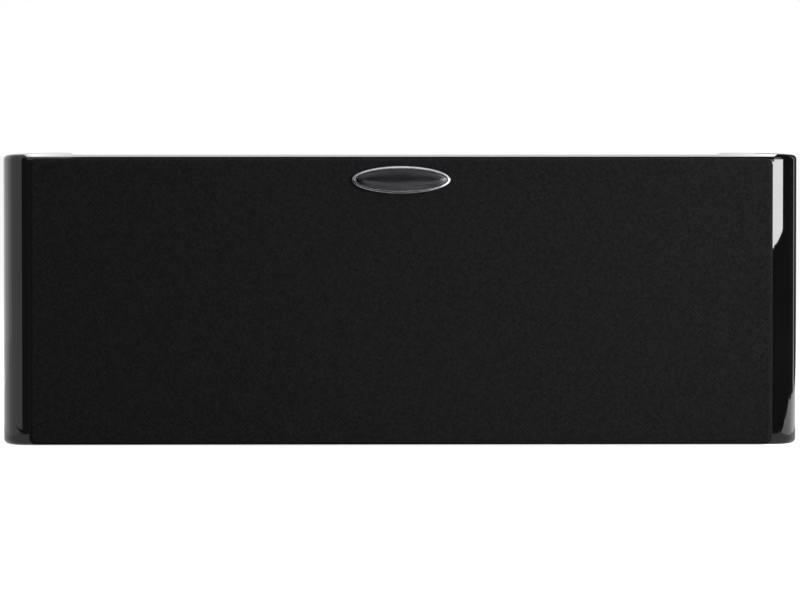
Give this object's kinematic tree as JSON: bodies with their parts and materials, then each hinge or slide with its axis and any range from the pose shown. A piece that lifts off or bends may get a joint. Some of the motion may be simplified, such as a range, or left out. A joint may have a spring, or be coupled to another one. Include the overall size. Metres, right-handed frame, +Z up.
{
  "type": "center channel speaker",
  "caption": "Low wide loudspeaker with bowed gloss ends, a full cloth grille with an oval plate, woofers either side of a dome tweeter, a rear port and binding posts.",
  "frame": {"origin": "under the middle of the speaker's box, on the surface that it stands on", "axes": "+X along the length to the listener's right, +Y from the grille to the rear panel, +Z up"},
  "size_m": [0.502, 0.2242, 0.183],
  "materials": {
    "gloss_lacquer": "high-gloss black lacquer on board",
    "satin_board": "satin black paint on fibreboard",
    "raw_board": "raw fibreboard",
    "wadding": "loose polyester wadding",
    "grille_plastic": "moulded black ABS",
    "grille_cloth": "woven black polyester",
    "badge_metal": "brushed and clear-coated",
    "cup_rubber": "moulded",
    "basket_paint": "powder-coated pressed steel",
    "cone_paper": "pressed black pulp",
    "surround_rubber": "moulded",
    "cap_plastic": "formed",
    "coil_copper": "enamelled copper winding",
    "spider_cloth": "resin-dipped cloth",
    "motor_steel": "zinc plated",
    "ferrite": "sintered",
    "tag_board": "phenolic strip",
    "black_screw": "blackened steel",
    "tweeter_plastic": "moulded ABS",
    "dome_silk": "coated silk",
    "port_plastic": "moulded",
    "cup_plastic": "moulded ABS",
    "post_brass": "gold flashed",
    "red_knob": "moulded",
    "black_knob": "moulded",
    "circuit_board": "glass-filled laminate with solder mask",
    "capacitor_film": "tape wrapped",
    "cement": "cast cement",
    "lead_sheath": "extruded"
  },
  "bodies": {
    "cabinet": {"top_panel": "gloss_lacquer", "bottom_panel": "gloss_lacquer", "left_side_panel": "gloss_lacquer", "right_side_panel": "gloss_lacquer", "front_baffle": "gloss_lacquer", "rear_panel": "satin_board", "centre_brace": "raw_board", "grille_cups": "cup_rubber", "woofer_screws": "black_screw", "tweeter_faceplate": "tweeter_plastic", "tweeter_dome": "dome_silk", "tweeter_voice_coil": "coil_copper", "tweeter_top_plate": "motor_steel", "tweeter_magnet": "ferrite", "tweeter_back_plate": "motor_steel", "tweeter_tag": "tag_board", "tweeter_screws": "black_screw", "port_tube": "port_plastic", "terminal_cup": "cup_plastic", "terminal_cup_screws": "black_screw", "red_post": "post_brass", "black_post": "post_brass", "post_nuts": "motor_steel", "crossover_board": "circuit_board", "woofer_inductor": "coil_copper", "tweeter_inductor": "coil_copper", "crossover_capacitors": "capacitor_film", "crossover_resistor": "cement", "left_woofer_lead": "lead_sheath", "right_woofer_lead": "lead_sheath", "tweeter_lead": "lead_sheath", "left_damping_pad": "wadding", "left_basket": "basket_paint", "left_surround": "surround_rubber", "left_spider": "spider_cloth", "left_top_plate": "motor_steel", "left_magnet": "ferrite", "left_back_plate": "motor_steel", "left_woofer_tag": "tag_board", "right_damping_pad": "wadding", "right_basket": "basket_paint", "right_surround": "surround_rubber", "right_spider": "spider_cloth", "right_top_plate": "motor_steel", "right_magnet": "ferrite", "right_back_plate": "motor_steel", "right_woofer_tag": "tag_board"},
    "grille": {"grille_frame": "grille_plastic", "grille_cloth": "grille_cloth", "badge": "badge_metal"},
    "left_cone_body": {"left_cone": "cone_paper", "left_dust_cap": "cap_plastic", "left_voice_coil": "coil_copper"},
    "right_cone_body": {"right_cone": "cone_paper", "right_dust_cap": "cap_plastic", "right_voice_coil": "coil_copper"},
    "red_clamp": {"red_clamp_washer": "post_brass"},
    "black_clamp": {"black_clamp_washer": "post_brass"},
    "red_turn_knob": {"red_knob": "red_knob"},
    "black_turn_knob": {"black_knob": "black_knob"}
  },
  "joints": [
    {"name": "grille_pull", "type": "slide", "parent": "cabinet", "child": "grille", "axis": [0, -1, 0], "range_m": [0, 0.04]},
    {"name": "left_cone_travel", "type": "slide", "parent": "cabinet", "child": "left_cone_body", "axis": [0, -1, 0], "range_m": [-0.005, 0.005], "stiffness_N_per_m": 900, "deforming": ["left_surround", "left_spider"]},
    {"name": "right_cone_travel", "type": "slide", "parent": "cabinet", "child": "right_cone_body", "axis": [0, -1, 0], "range_m": [-0.005, 0.005], "stiffness_N_per_m": 900, "deforming": ["right_surround", "right_spider"]},
    {"name": "red_clamp_slide", "type": "slide", "parent": "cabinet", "child": "red_clamp", "axis": [0, 1, 0], "range_m": [0, 0.005]},
    {"name": "red_knob_turn", "type": "hinge", "parent": "red_clamp", "child": "red_turn_knob", "pos_m": [0.07153, 0.09065, 0.0915], "axis": [0, 1, 0], "range_deg": [0, 1800]},
    {"name": "black_clamp_slide", "type": "slide", "parent": "cabinet", "child": "black_clamp", "axis": [0, 1, 0], "range_m": [0, 0.005]},
    {"name": "black_knob_turn", "type": "hinge", "parent": "black_clamp", "child": "black_turn_knob", "pos_m": [0.05248, 0.09065, 0.0915], "axis": [0, 1, 0], "range_deg": [0, 1800]}
  ],
  "couplings": [
    {"joint": "red_knob_turn", "follows": "red_clamp_slide", "rad_per_m": 6283.2},
    {"joint": "black_knob_turn", "follows": "black_clamp_slide", "rad_per_m": 6283.2}
  ]
}
